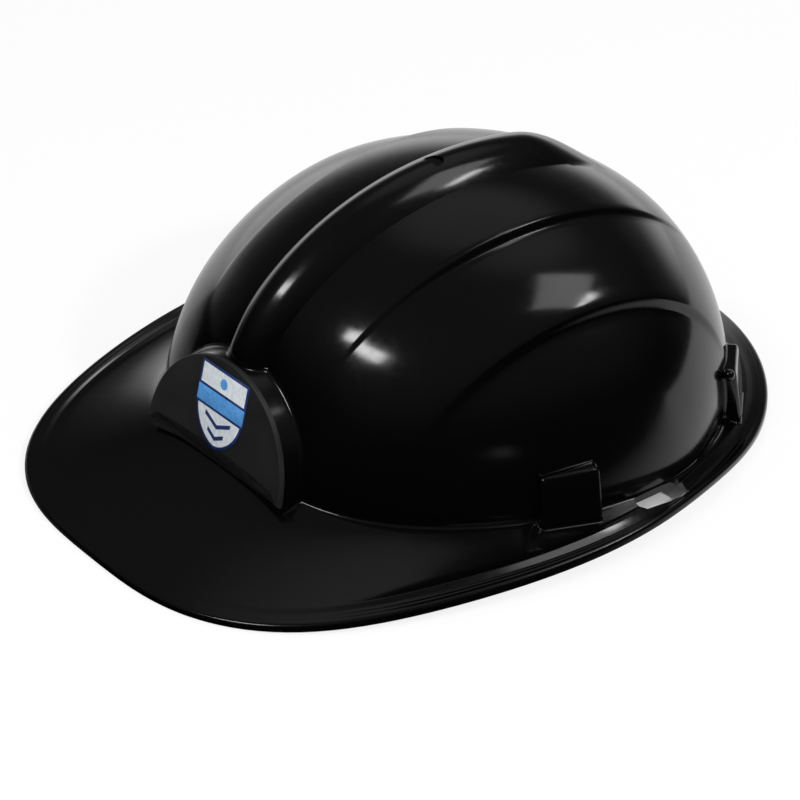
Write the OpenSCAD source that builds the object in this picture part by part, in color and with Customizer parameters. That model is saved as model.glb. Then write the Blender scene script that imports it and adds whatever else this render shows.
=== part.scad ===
// Police play helmet: a one-piece moulded shell with crest, stepped side panels and wide peak,
// a D-shaped badge plate in front, and a headband and cradle clipped inside.
// Millimetres. The peak points to -Y, the wearer's left is +X, the brim stands on z = 0.

/* [Dome] */
// Half width of the dome at its foot
dome_half_w = 95.4; // [90:0.2:100]
// Half length of the dome at its foot
dome_half_l = 99.6; // [94:0.2:104]
// Height of the dome above its foot, without the crest
dome_rise = 85; // [78:0.5:92]
// Height of the dome's foot above the floor at the sides and rear
foot_z = 9.2; // [8:0.1:11]
// How much higher the dome's foot lies at the front
front_lift = 12.3; // [11:0.1:14]
// Distance of the dome's centre behind the helmet's centre
dome_y = 17.2; // [15:0.1:19]
// Wall thickness of the shell
wall = 2; // [1.6:0.1:2.4]

/* [Crest and panels] */
// Half width of the crest at its foot
crest_half_w = 12.4; // [10:0.1:15]
// Height of the crest above the dome
crest_h = 6.2; // [3:0.1:8]
// Distance of the upper seam from the middle plane
upper_seam_x = 38.2; // [34:0.1:44]
// Distance of the lower seam from the middle plane
lower_seam_x = 70.6; // [66:0.1:74]
// Height of the step at the upper seam
upper_step = 2.3; // [0.8:0.1:3]
// Height of the step at the lower seam
lower_step = 2.6; // [0.8:0.1:3]
// Width over which a step falls
step_w = 2.8; // [2:0.1:4]
// Depth of the hollow in the dome's front around the badge neck
front_hollow = 2.6; // [1:0.1:3.5]

/* [Brim] */
// Reach of the peak in front of the dome
peak_reach = 55.1; // [48:0.1:60]
// Reach of the brim behind the dome
rear_reach = 20.8; // [18:0.1:26]
// How far the brim is drawn in at the sides
side_draw = 15; // [12:0.1:16]
// How far the corners of the peak reach out
corner_reach = 14.7; // [8:0.1:20]
// Rise of the brim's edge at the sides
side_arch = 5.5; // [2:0.1:6.5]
// Height of the edge at the peak
edge_h = 2.2; // [2.1:0.1:3]
// Extra height of the turned-down edge at the sides
side_lip = 1.5; // [0.5:0.1:2.5]
// Depth of the gutter along the sides of the brim
gutter = 1.3; // [0:0.1:1.5]
// Length of the accessory slots
slot_len = 20.5; // [14:0.5:24]
// Width of the accessory slots
slot_w = 6.8; // [5:0.1:8]

/* [Badge plate] */
// Half width of the plate
plate_half_w = 37.3; // [34:0.1:39]
// Height of the plate from its lower corners
plate_h = 35.9; // [34:0.1:37]
// Thickness of the plate
plate_t = 1.8; // [1.6:0.1:3]
// Angle at which the plate leans back
plate_lean = 14.5; // [12:0.5:17]
// Distance of the plate's lower corners in front of the dome's foot
plate_out = 4; // [3:0.1:5]
// How far the plate's lower corners lie below the dome's foot at the front
plate_drop = 3.9; // [3.4:0.1:4.6]
// Rise of the lower edge at the middle
plate_arch = 2.3; // [1.5:0.1:4]
// How far the plate overhangs its neck
overhang = 0.5; // [0.2:0.1:1.5]
// Angle at which the neck widens towards the dome
neck_draft = 6; // [2:0.5:8]
// Diameter of the plate's pegs
peg_d = 4; // [3:0.1:5]
// Distance of the pegs from the middle plane
peg_x = 21; // [16:0.5:24]
// Height of the pegs up the plate
peg_up = 17; // [14:0.5:18]
// Thickness of the badge label
label_t = 0.3; // [0.2:0.05:0.5]
// Height of the badge label
label_h = 28; // [22:0.5:29]

/* [Pockets and keys] */
// Width of a pocket block on the outside
block_w = 22; // [21:0.5:25]
// Height of the pocket blocks' tops above the dome's foot
block_h = 17.8; // [17:0.1:20]
// How far a block stands out at its foot
block_out = 4.7; // [4.4:0.1:6]
// How far a block stands out at its top
block_top = 2; // [1:0.1:2.5]
// Width of a key's blade
key_w = 17; // [14:0.5:18]
// Thickness of a key's blade
key_t = 1.9; // [1.5:0.1:2.2]
// Width of a key's tongue
tongue_w = 9.4; // [8:0.1:11]
// Thickness of a key's tongue
tongue_t = 2.5; // [2:0.1:3]

/* [Headband and cradle] */
// Room between the headband's inner face and the dome's foot at each side
side_room = 23.4; // [22:0.2:25]
// Room between the headband's inner face and the dome's foot at the front
front_room = 18.4; // [17.6:0.2:20]
// Room between the nape strap's run and the dome's foot at the rear
rear_room = 12.8; // [11:0.2:15]
// Depth of the nape strap's round end, along the helmet
rear_half_l = 56; // [55:0.5:60]
// Thickness of the bands
band_t = 1.6; // [1.2:0.1:2]
// Height of the headband
band_h = 30; // [28:1:32]
// Height of the headband's lower edge above the floor
band_z = 12; // [10:0.5:13]
// Height of the nape strap
strap_h = 16; // [12:0.5:17]
// Travel of the nape strap
strap_travel = 16; // [10:1:16]
// How far the nape strap runs past its foremost stud
strap_tip = 4; // [3.6:0.1:4.4]
// Distance of the first stud from the headband's end
stud_end = 5.5; // [5:0.1:5.6]
// Distance between the two studs of a side
stud_pitch = 8; // [7.5:0.1:8.2]
// Diameter of the stud shanks
stud_d = 3.4; // [3:0.1:4]
// Diameter of the stud heads
head_d = 7; // [6:0.2:7.2]
// Room between the cradle's hub and the top of the dome
hub_room = 16.2; // [14:0.2:20]
// Radius of the cradle's hub
hub_r = 22; // [18:0.5:26]
// Width of the cradle's arms
arm_w = 15; // [13:0.5:18]
// Thickness of the sweatband at its crown
sweat_t = 4.5; // [3:0.1:6]
// Height of the sweatband
sweat_h = 19; // [14:0.5:19]
// Thickness of the crown pad
pad_t = 6; // [4:0.5:8]

/* [Hidden] */
black = [0.03, 0.03, 0.035];
satin = [0.09, 0.09, 0.1];
grey = [0.18, 0.18, 0.19];
$fn = 64;
eps = 0.01;
// Gap between faces that lie against each other on different pieces
seat = 0.3;
// Running clearance of a shank or blade in its hole, on each side
slack = 0.2;

// Dome surface over the unit disc: qx across, qy from front (-1) to rear (+1)
flatness = 0.24;
widening = 0.1;
narrowing = 0.12;
squareness = 0.47;
lift_power = 4.2;
// Place of the headband's round front, and its inner size, from the room it has inside the dome
ring_half_w = dome_half_w - side_room;
ring_y = dome_y - dome_half_l + front_room + ring_half_w;
ring_len = 2 * dome_half_l - front_room - rear_room;
hub_z = foot_z + dome_rise - wall - hub_room;
function radius2(q) = q.x * q.x + q.y * q.y;
function dome_g(q) = sqrt(max(0, 1 - (1 - flatness) * radius2(q) - flatness * pow(radius2(q), 2)));
function lift(q) = front_lift * pow(max(0, sqrt(radius2(q)) - q.y) / 2, lift_power);
function plan(q) = [
    dome_half_w * q.x * (1 + widening * q.y - narrowing * q.y * q.y),
    dome_y + dome_half_l * q.y * (1 + squareness * q.x * q.x * pow((1 - q.y) / 2, 2))];
function dome_point(q) = let (g = dome_g(q), p = plan(q))
    [p.x, p.y, foot_z + dome_rise * g + lift(q) * (1 - g)];
function dome_normal(q) = let (
    a = 1 - flatness + 2 * flatness * radius2(q),
    n = [a * q.x / dome_half_w, a * q.y / dome_half_l, dome_g(q) / dome_rise]) n / norm(n);

// Crest and steps: how far the skin stands above the plain dome
crest_q = crest_half_w / dome_half_w;
upper_q = upper_seam_x / dome_half_w;
lower_q = lower_seam_x / dome_half_w;
step_q = step_w / dome_half_w;
function smooth(t) = let (u = min(1, max(0, t))) u * u * (3 - 2 * u);
function hump(y, middle, half) = max(0, 1 - pow((y - middle) / half, 2));
function below_seam(x, seam, to) =
    x < seam + step_q ? smooth((x - seam) / step_q) : 1 - smooth((x - seam - step_q) / (to - seam - step_q));
function hollow(q) = q.y >= 0 ? 0 : front_hollow * smooth((60 - atan2(abs(q.x), -q.y)) / 34)
    * smooth(dome_g(q) / 0.3) * smooth((0.72 - dome_g(q)) / 0.38);
function crest_fade(y) = y < 0 ? smooth((0.96 + y) / 0.06) : 1 - smooth((y - 0.3) / 0.36);
function relief(q) = let (x = abs(q.x)) crest_h * max(0, 1 - pow(x / crest_q, 2)) * crest_fade(q.y)
    - upper_step * below_seam(x, upper_q, lower_q) * hump(q.y, -0.01, 0.74)
    - lower_step * below_seam(x, lower_q, 1) * hump(q.y, 0.03, 0.6) - hollow(q);
function skin(q, off) = dome_point(q) + (relief(q) + off) * dome_normal(q);

// Foot of the dome and the brim, by the angle t: -90 is the front, 0 the wearer's left
function rim_q(t) = [cos(t), sin(t)];
function foot(t) = plan(rim_q(t));
function foot_height(t) = foot_z + lift(rim_q(t));
function outward(t) = let (d = foot(t + 0.5) - foot(t - 0.5)) [d.y, -d.x] / norm(d);
function edge_z(t) = side_arch * pow(1 - pow(outward(t).y, 2), 2);
function edge_top(t) = edge_z(t) + edge_h + side_lip * (1 - pow(outward(t).y, 2));
function front_share(t) = pow((1 - outward(t).y) / 2, 2.84);
function reach(t) = let (s = outward(t).y, f = front_share(t))
    rear_reach + (peak_reach - rear_reach) * f + (corner_reach * f - side_draw) * (1 - s * s);
fillet = 1.5;
function brim_top(t, r) = let (u = (r - fillet) / (reach(t) - fillet))
    foot_height(t) - fillet + (edge_top(t) - foot_height(t) + fillet) * pow(u, 1 - 0.25 * front_share(t))
    - gutter * (1 - pow(outward(t).y, 2)) * sin(180 * u);
function brim_at(t, r, z) = [foot(t).x + r * outward(t).x, foot(t).y + r * outward(t).y, z];

// Rings of the brim, from the dome's foot to the edge: outside, and one wall deeper inside
brim_steps = 5;
function outer_rings(t) = let (r = reach(t)) concat(
    [[0.3 * fillet, foot_height(t) - 0.7 * fillet]],
    [for (i = [0:brim_steps]) let (x = fillet + (r - 1.2 - fillet) * i / brim_steps) [x, brim_top(t, x)]],
    [[r, edge_top(t) - 1.1], [r, edge_z(t)]]);
function inner_rings(t) = let (r = reach(t)) concat(
    [[-wall, foot_height(t) - fillet - wall]],
    [for (i = [0:brim_steps]) let (x = (r - wall) * i / brim_steps) [x, brim_top(t, max(x, fillet)) - wall]],
    [[r - wall, edge_z(t) - 4]]);

// Columns follow the crest's foot and the seams; rows run from front to rear
function parts(a, b, n) = [for (i = [1:n]) a + (b - a) * i / n];
side_cols = 6;
half_cols = concat(parts(0, crest_q, 3), parts(crest_q, upper_q, 4), [upper_q + step_q],
    parts(upper_q + step_q, lower_q, 4), [lower_q + step_q],
    [for (i = [1:side_cols - 1]) lower_q + step_q + (1 - lower_q - step_q) * sin(90 * i / side_cols)]);
cols = concat([for (i = [len(half_cols) - 1:-1:0]) -half_cols[i]], [0], half_cols);
rows = 30;
function grid_q(x, j) = [x, sqrt(1 - x * x) * sin(-90 + 180 * j / rows)];
rim = concat([[-1, 0]], [for (x = cols) grid_q(x, 0)], [[1, 0]],
    [for (i = [len(cols) - 1:-1:0]) grid_q(cols[i], rows)]);

// Closed solid of the outside (off = 0) or of the space inside (off = -wall)
module dome_and_brim(off) {
    nc = len(cols);
    nr = rows + 1;
    nl = len(rim);
    rings = [for (q = rim) let (t = atan2(q.y, q.x))
        [for (p = off < 0 ? inner_rings(t) : outer_rings(t)) brim_at(t, p[0], p[1])]];
    nk = len(rings[0]);
    grid = [for (x = cols) for (j = [0:rows]) skin(grid_q(x, j), off)];
    left_end = nc * nr;
    right_end = left_end + 1;
    first = right_end + 1;
    centre = first + nk * nl;
    points = concat(grid, [skin([-1, 0], off), skin([1, 0], off)],
        [for (k = [0:nk - 1]) for (i = [0:nl - 1]) rings[i][k]],
        [[0, dome_y, off < 0 ? -6 : 2]]);
    foot_loop = concat([left_end], [for (i = [0:nc - 1]) i * nr], [right_end],
        [for (i = [nc - 1:-1:0]) i * nr + rows]);
    function loop(k, i) = k < 0 ? foot_loop[i % nl] : first + k * nl + i % nl;
    faces = concat(
        [for (i = [0:nc - 2]) for (j = [0:rows - 1]) each [
            [i * nr + j, i * nr + j + 1, (i + 1) * nr + j + 1],
            [i * nr + j, (i + 1) * nr + j + 1, (i + 1) * nr + j]]],
        [for (j = [0:rows - 1]) [left_end, j + 1, j]],
        [for (j = [0:rows - 1]) [right_end, (nc - 1) * nr + j, (nc - 1) * nr + j + 1]],
        [for (k = [-1:nk - 2]) for (i = [0:nl - 1]) each [
            [loop(k, i), loop(k, i + 1), loop(k + 1, i + 1)],
            [loop(k, i), loop(k + 1, i + 1), loop(k + 1, i)]]],
        [for (i = [0:nl - 1]) [loop(nk - 1, i), loop(nk - 1, i + 1), centre]]);
    polyhedron(points, faces);
}

// Places of the five keys: angle on the dome's foot, and how far the front one is set in
key_at = [-90, -12.8, 192.8, 42, 138];
front_setback = 4;
function setback(k) = k == 0 ? front_setback : 0;
// Distance of a cradle arm's outer face inside the dome's foot
function arm_in(k) = k == 0 ? 8.5 : k < 3 ? 8 : 5.3;
function key_dir(k) = let (p = foot(key_at[k])) atan2(p.y - ring_y, p.x);
function key_r(k) = norm(foot(key_at[k]) - [0, ring_y]);
function key_z(k) = foot_height(key_at[k]);
module at_key(k) translate([0, ring_y, 0]) rotate(key_dir(k)) translate([key_r(k), 0, key_z(k)]) children();

// Heights above the dome's foot at a key
tongue_z = 1.8;
blade_top = 14.5;
web_z = 6;
web_t = 1.5;
slot_t = key_t + 2 * slack + 0.2;

// A block faces outwards from the dome's foot, the side ones turned a little to the front
block_turn = [0, -4, 4, 0, 0];
module at_block(k) translate([foot(key_at[k]).x, foot(key_at[k]).y, key_z(k)])
    rotate(atan2(outward(key_at[k]).y, outward(key_at[k]).x) + block_turn[k]) children();
module block(k) at_block(k) hull() {
    h = block_h + foot_z - key_z(k);
    for (y = [-1, 1]) {
        translate([block_out - 1.5, y * (block_w / 2 - 1.5), -3]) cylinder(r = 1.5, h = 4, $fn = 24);
        translate([block_top - 1.5, y * (block_w / 2 - 2), h - 1.5]) sphere(r = 1.5, $fn = 24);
        translate([-4, y * (block_w / 2 - 2), h / 2 - 1.5]) cube([1, 2, h + 3], center = true);
    }
}
module web(k) at_key(k) translate([-setback(k) - slot_t - web_t, -block_w / 2 + 1, web_z])
    cube([k == 0 ? web_t : web_t + slot_t - 0.8, block_w - 2, k == 0 ? plate_top_z - key_z(0) - web_z : 11]);
module key_slot(k) at_key(k) {
    translate([-setback(k) - slot_t, -key_w / 2 - slack, 0.8]) cube([slot_t, key_w + 2 * slack, blade_top + 0.5]);
    translate([-setback(k) - slot_t - 4, -key_w / 2 - slack, 0.8]) cube([5, key_w + 2 * slack, web_z - 0.8]);
}
module rear_nub(side) at_block(side > 0 ? 3 : 4)
    translate([-0.4, -side * (block_w / 2 - 0.2), block_h - 1]) sphere(d = 4.2, $fn = 24);

// The badge plate's own frame: x across, y up along the plate, z out of its back face
plate_y = dome_half_l - dome_y + plate_out;
plate_z = foot_z + front_lift - plate_drop;
plate_top_z = plate_z + (plate_h - overhang) * cos(plate_lean) - wall / 2;
module at_plate() translate([0, -plate_y, plate_z]) rotate([90 - plate_lean, 0, 0]) children();
function d_point(a, inset) = let (p = 2 / 2.05)
    [(plate_half_w - inset) * sign(cos(a)) * pow(abs(cos(a)), p), (plate_h - inset) * pow(sin(a), p)];
module d_profile(inset, bottom) {
    polygon(concat([for (i = [0:36]) d_point(5 * i, inset)],
        [[-(plate_half_w - inset), bottom], [plate_half_w - inset, bottom]]));
}
// The neck runs straight back from the leaning plate, so its ends are shifted copies of one outline
function neck_ring(inset, bottom) = concat([for (i = [0:36]) let (p = d_point(5 * i, inset)) if (p.y > bottom) p],
    bottom < 0 ? [[-(plate_half_w - inset), bottom], [plate_half_w - inset, bottom]] : []);
module neck_loft(inset, front, depth, bottom) {
    a = neck_ring(inset, bottom);
    b = neck_ring(inset - depth * tan(neck_draft), bottom);
    n = min(len(a), len(b));
    skip = (len(b) - n) / 2;
    polyhedron(
        concat([for (i = [0:n - 1]) [a[i].x, a[i].y, front]],
            [for (i = [0:n - 1]) let (p = b[i + (bottom < 0 ? 0 : skip)])
                [p.x, p.y + depth * sin(plate_lean), front - depth * cos(plate_lean)]]),
        concat([[for (i = [n - 1:-1:0]) i]], [[for (i = [0:n - 1]) n + i]],
            [for (i = [0:n - 1]) each [[i, (i + 1) % n, n + (i + 1) % n], [i, n + (i + 1) % n, n + i]]]));
}
module neck() at_plate() neck_loft(overhang, 0, 24, -3);
module neck_hollow() at_plate() neck_loft(overhang + wall, -wall, 30, plate_arch + 2.5);
module peg_holes() at_plate() for (x = [-peg_x, peg_x])
    translate([x, peg_up, -wall - 1]) cylinder(d = peg_d + 2 * slack, h = wall + 2, $fn = 32);

module accessory_slot(side) {
    t = side > 0 ? 4.5 : 175.5;
    p = foot(t) + (slot_w / 2 + 0.3) * outward(t);
    translate([p.x, p.y, foot_z - 4]) rotate(atan2(outward(t).y, outward(t).x))
        cube([slot_w, slot_len, 20], center = true);
}
// Half-round gate mark on the crest
module gate_mark() translate([0, ring_y, foot_z + dome_rise + crest_h - 1]) intersection() {
    cylinder(d = 7.5, h = 5, $fn = 32);
    translate([-5, -1.6, 0]) cube([10, 10, 5]);
}

module shell() color(black) difference() {
    union() {
        difference() {
            union() {
                dome_and_brim(0);
                neck();
                for (k = [1:4]) block(k);
                for (side = [-1, 1]) rear_nub(side);
            }
            dome_and_brim(-wall);
            neck_hollow();
        }
        for (k = [0:4]) web(k);
    }
    for (k = [0:4]) key_slot(k);
    for (side = [-1, 1]) accessory_slot(side);
    peg_holes();
    gate_mark();
}

module badge_plate() color(satin) at_plate() {
    arch_r = (pow(plate_half_w, 2) + pow(plate_arch, 2)) / (2 * plate_arch);
    translate([0, 0, seat / 10]) linear_extrude(plate_t - seat / 10) difference() {
        d_profile(0, 0);
        translate([0, plate_arch - arch_r]) circle(r = arch_r, $fn = 360);
    }
    for (x = [-peg_x, peg_x]) translate([x, peg_up, -wall - 1.5])
        cylinder(d = peg_d, h = wall + 1.6 + seat / 10, $fn = 32);
}

// Plain shield outline of the label, centred on the plate
label_half_w = 0.46 * label_h;
label_y = plate_arch + 2.4;
function shield_side(u) = [label_half_w * pow(1 - pow(u, 2.4), 0.62), -u];
module badge_label() color([0.85, 0.88, 0.9]) at_plate() translate([0, label_y, plate_t]) linear_extrude(label_t) {
    shoulder = 0.62 * label_h;
    right = [for (i = [0:12]) let (p = shield_side(i / 12)) [p.x, shoulder * (1 + p.y)]];
    left = [for (i = [11:-1:0]) [-right[i].x, right[i].y]];
    polygon(concat([[label_half_w, label_h]], right, left, [[-label_half_w, label_h]]));
}

// Radii of the rings about the middle of the headband
band_r = ring_half_w + band_t;
strap_in = band_r + seat;
strap_r = strap_in + band_t;
riser_in = strap_r + 0.8;
riser_t = 1.6;
hook_drop = 6;
hook_z = band_z + band_h - hook_drop;

module blade(k) translate([-setback(k) - slot_t + slack, -key_w / 2, tongue_z])
    cube([key_t, key_w, blade_top - tongue_z]);
// A key holds the cradle's arm on its tongue, and the headband on a riser where it has one
module key(k, riser) color(grey) at_key(k) {
    d = key_r(k);
    z = key_z(k);
    inner = riser ? riser_in : d - arm_in(k) - band_t - 1.2;
    difference() {
        union() {
            blade(k);
            translate([inner - d, -tongue_w / 2, tongue_z]) cube([d - inner - setback(k) - slot_t + slack + key_t, tongue_w, tongue_t]);
            if (riser) {
                translate([riser_in - d, -tongue_w / 2, tongue_z]) cube([riser_t, tongue_w, band_z + band_h - z - tongue_z]);
                translate([band_r + seat - d, -tongue_w / 2, hook_z - 5 - z])
                    cube([riser_in - band_r - seat + eps, tongue_w, 11]);
            }
        }
        if (riser) translate([-20 - d + band_r, 0, hook_z - z]) rotate([0, 90, 0]) cylinder(d = stud_d + 2 * slack, h = 60, $fn = 32);
    }
}
module front_key() key(0, true);
module side_key_left() key(1, true);
module side_key_right() key(2, true);
module rear_key_left() key(3, false);
module rear_key_right() key(4, false);

// Cradle: a hub with five arms, each with an eye that lets a key's riser through and holds its tongue
eye_h = riser_in + riser_t - band_r - seat + 2 * slack;
function arm_foot(k) = key_z(k) + (k == 0 ? 16 : 12);
function arm_power(k) = k == 0 ? 0.88 : k < 3 ? 0.90 : 0.95;
function arm_curve(k, inset) = let (
    from = 0.9 * hub_r, r = key_r(k) - arm_in(k) - inset, z = arm_foot(k), h = hub_z - inset - z)
    [for (i = [1:9]) [from + (r - from) * pow(sin(10 * i), arm_power(k)), z + h * pow(cos(10 * i), arm_power(k))]];
module arm(k) translate([0, ring_y, 0]) rotate(key_dir(k)) {
    z = key_z(k) + tongue_z;
    r = key_r(k) - arm_in(k);
    outside = arm_curve(k, 0);
    inside = arm_curve(k, band_t);
    difference() {
        translate([0, arm_w / 2, 0]) rotate([90, 0, 0]) linear_extrude(arm_w) polygon(concat(
            [[0.6 * hub_r, hub_z - band_t], [0.6 * hub_r, hub_z]], outside, [[r, z - 2.2], [r - band_t, z - 2.2]],
            [for (i = [len(inside) - 1:-1:0]) inside[i]]));
        translate([r - band_t - 1, -tongue_w / 2 - slack, z - slack]) cube([band_t + 2, tongue_w + 2 * slack, eye_h]);
    }
}
module cradle() color(grey) difference() {
    union() {
        translate([0, ring_y, hub_z - band_t - hub_rim]) cylinder(r = hub_r, h = band_t + 2 * hub_rim, $fn = 96);
        for (k = [0:4]) arm(k);
    }
    translate([0, ring_y, hub_z - band_t - 1]) cylinder(r = 0.42 * hub_r, h = band_t + 2, $fn = 64);
}

// The hub stands a little proud of the arms, above and below
hub_rim = 0.5;
// Foam pad under the hub, crowned below
pad_r = 0.88 * hub_r;
module crown_pad() color([0.12, 0.12, 0.13]) translate([0, ring_y, hub_z - band_t - hub_rim - seat - pad_t]) rotate_extrude($fn = 72)
    polygon(concat([[0, pad_t], [pad_r - 1.6, pad_t]],
        [for (a = [60:-15:-60]) [pad_r - 1.6 + 1.6 * cos(a), pad_t / 2 + 0.6 + (pad_t / 2 - 0.6) * sin(a)]],
        [for (i = [4:-1:0]) [(pad_r - 2) * i / 5, 0.7 * pow(i / 5, 3)]]));

// Plan of the bands: a half circle in front, straight sides, a half ellipse at the rear
ring_straight = ring_len - ring_half_w - rear_half_l;
function front_arc(r) = [for (a = [-180:3:0]) [r * cos(a), ring_y + r * sin(a)]];
function rear_arc(off) = [for (a = [0:3:180])
    [(ring_half_w + off) * cos(a), ring_y + ring_straight + (rear_half_l + off) * sin(a)]];
// The headband ends where the let-in nape strap starts to curve
front_end = ring_y + ring_straight - strap_travel;
stud_y = [front_end - stud_end, front_end - stud_end - stud_pitch];
strap_front = stud_y[1] - strap_tip;
strap_mid = band_z + 9;

module band_studs_holes(d) for (y = stud_y) translate([0, y, strap_mid]) rotate([0, 90, 0])
    cylinder(d = d, h = 4 * ring_half_w, center = true, $fn = 32);

module headband() color(grey) difference() {
    translate([0, 0, band_z]) linear_extrude(band_h) polygon(concat(
        [[-band_r, front_end]], front_arc(band_r), [[band_r, front_end], [ring_half_w, front_end]],
        [for (i = [60:-1:0]) front_arc(ring_half_w)[i]], [[-ring_half_w, front_end]]));
    band_studs_holes(stud_d + 2 * slack);
    for (k = [0:2]) translate([0, ring_y, hook_z]) rotate(key_dir(k)) translate([band_r - 8, 0, 0]) rotate([0, 90, 0])
        cylinder(d = stud_d + 2 * slack, h = 16, $fn = 32);
}

// Nape strap outside the headband's ends, with a slot on each side for the studs
module nape_strap() color(grey) difference() {
    translate([0, 0, strap_mid - strap_h / 2]) linear_extrude(strap_h) difference() {
        polygon(concat([[strap_r, strap_front]], rear_arc(seat + 2 * band_t), [[-strap_r, strap_front]]));
        polygon(concat([[strap_in, strap_front - 1]], rear_arc(seat + band_t), [[-strap_in, strap_front - 1]]));
    }
    slot_from = stud_y[1];
    slot_to = stud_y[0] + strap_travel;
    for (side = [-1, 1]) {
        for (y = [slot_from, slot_to]) translate([side * strap_in - 5, y, strap_mid]) rotate([0, 90, 0])
            cylinder(d = stud_d + 2 * slack, h = 10, $fn = 32);
        translate([side * strap_in - 5, slot_from, strap_mid - stud_d / 2 - slack])
            cube([10, slot_to - slot_from, stud_d + 2 * slack]);
    }
}

// A stud with a flat head at each end, along x from the inner face of what it holds
module stud(grip) {
    translate([-seat - 0.8, 0, 0]) rotate([0, 90, 0]) cylinder(d = head_d - 1, h = 0.8, $fn = 32);
    translate([-seat - 0.8, 0, 0]) rotate([0, 90, 0]) cylinder(d = stud_d, h = grip + 2 * seat + 1.4, $fn = 32);
    translate([grip + seat, 0, 0]) rotate([0, 90, 0]) cylinder(d = head_d, h = 1, $fn = 32);
}
module adjuster_studs() color(satin) for (side = [0, 1]) mirror([side, 0, 0])
    for (y = stud_y) translate([ring_half_w, y, strap_mid]) stud(strap_r - ring_half_w);
module hanger_studs() color(satin) for (k = [0:2]) translate([0, ring_y, hook_z]) rotate(key_dir(k))
    translate([ring_half_w, 0, 0]) stud(riser_in + riser_t - ring_half_w);

// Padded sweatband inside the front of the headband, quilted in short fields
sweat_half = 60;
sweat_fields = 10;
function sweat_section(a) = let (
    end = smooth((sweat_half - abs(a)) / 6),
    field = abs(sin(180 * (a + sweat_half) * sweat_fields / (2 * sweat_half))),
    t = sweat_t * (0.45 + 0.35 * end + 0.2 * sqrt(field) * end))
    concat([[0, 0.12], [0, 0.88]], [for (b = [75:-15:-75]) [t * pow(max(0, cos(b)), 0.5), 0.5 + 0.5 * sin(b)]]);
module sweatband() color([0.1, 0.1, 0.11]) {
    angles = [for (a = [-sweat_half:2:sweat_half]) a];
    r = ring_half_w - seat;
    n = len(sweat_section(0));
    m = len(angles);
    points = [for (a = angles) for (p = sweat_section(a))
        [(r - p[0]) * sin(a), ring_y - (r - p[0]) * cos(a), band_z + 1 + sweat_h * p[1]]];
    polyhedron(points, concat([[for (i = [n - 1:-1:0]) i]], [[for (i = [0:n - 1]) (m - 1) * n + i]],
        [for (s = [0:m - 2]) for (i = [0:n - 1]) each [
            [s * n + i, s * n + (i + 1) % n, (s + 1) * n + (i + 1) % n],
            [s * n + i, (s + 1) * n + (i + 1) % n, (s + 1) * n + i]]]));
}

shell();
badge_plate();
badge_label();
front_key();
side_key_left();
side_key_right();
rear_key_left();
rear_key_right();
cradle();
crown_pad();
headband();
sweatband();
nape_strap();
hanger_studs();
adjuster_studs();
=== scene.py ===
"""Police play helmet: smooth moulded shell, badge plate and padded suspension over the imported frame."""
import math
import bpy
import bmesh
from mathutils import Vector, Matrix
from mathutils.bvhtree import BVHTree

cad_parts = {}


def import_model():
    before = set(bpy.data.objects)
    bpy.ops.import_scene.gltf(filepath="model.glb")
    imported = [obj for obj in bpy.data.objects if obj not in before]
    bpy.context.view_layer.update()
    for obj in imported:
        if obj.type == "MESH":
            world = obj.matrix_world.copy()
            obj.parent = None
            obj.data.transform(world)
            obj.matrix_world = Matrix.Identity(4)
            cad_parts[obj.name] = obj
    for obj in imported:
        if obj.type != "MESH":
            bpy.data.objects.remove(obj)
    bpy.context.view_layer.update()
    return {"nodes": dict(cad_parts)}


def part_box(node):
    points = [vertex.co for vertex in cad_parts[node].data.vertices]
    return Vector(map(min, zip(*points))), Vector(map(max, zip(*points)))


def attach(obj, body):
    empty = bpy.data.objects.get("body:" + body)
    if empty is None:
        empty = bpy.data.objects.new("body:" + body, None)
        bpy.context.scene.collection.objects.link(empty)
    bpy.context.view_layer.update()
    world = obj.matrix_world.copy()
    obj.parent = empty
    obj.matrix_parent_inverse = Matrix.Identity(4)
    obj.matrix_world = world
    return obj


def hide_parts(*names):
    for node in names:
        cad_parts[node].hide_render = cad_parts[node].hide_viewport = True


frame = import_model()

MM = 0.001
HELMET = "helmet"


# ---------------------------------------------------------------- materials
def material(name, base, rough, spec=0.5, sheen=0.0):
    """New material and its Principled shader."""
    m = bpy.data.materials.new(name)
    m.use_nodes = True
    b = m.node_tree.nodes["Principled BSDF"]
    b.inputs["Base Color"].default_value = (*base, 1)
    b.inputs["Roughness"].default_value = rough
    b.inputs["IOR"].default_value = 1.5
    b.inputs["Specular IOR Level"].default_value = spec
    if sheen:
        b.inputs["Sheen Weight"].default_value = sheen
        b.inputs["Sheen Roughness"].default_value = 0.4
    return m, b


def node(m, kind, **values):
    """New shader node; each value goes to the socket of that name, or else to the property."""
    n = m.node_tree.nodes.new(kind)
    for k, v in values.items():
        if k in n.inputs:
            n.inputs[k].default_value = v
        else:
            setattr(n, k, v)
    return n


def link(m, a, b):
    m.node_tree.links.new(a, b)


def coords(m):
    return node(m, "ShaderNodeTexCoord").outputs["Object"]


def noise(m, vec, scale, detail):
    n = node(m, "ShaderNodeTexNoise", Scale=scale, Detail=detail, Roughness=0.5)
    link(m, vec, n.inputs["Vector"])
    return n.outputs["Fac"]


def ramp(m, fac, lo, hi, a, b):
    """Maps lo..hi to a..b."""
    n = node(m, "ShaderNodeMapRange", **{"From Min": lo, "From Max": hi, "To Min": a, "To Max": b})
    link(m, fac, n.inputs["Value"])
    return n.outputs["Result"]


def mix(m, fac, a, b):
    n = node(m, "ShaderNodeMix", data_type="RGBA")
    link(m, fac, n.inputs[0])
    for s, c in ((n.inputs[6], a), (n.inputs[7], b)):
        if hasattr(c, "links"):
            link(m, c, s)
        else:
            s.default_value = (*c, 1)
    return n.outputs[2]


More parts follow.
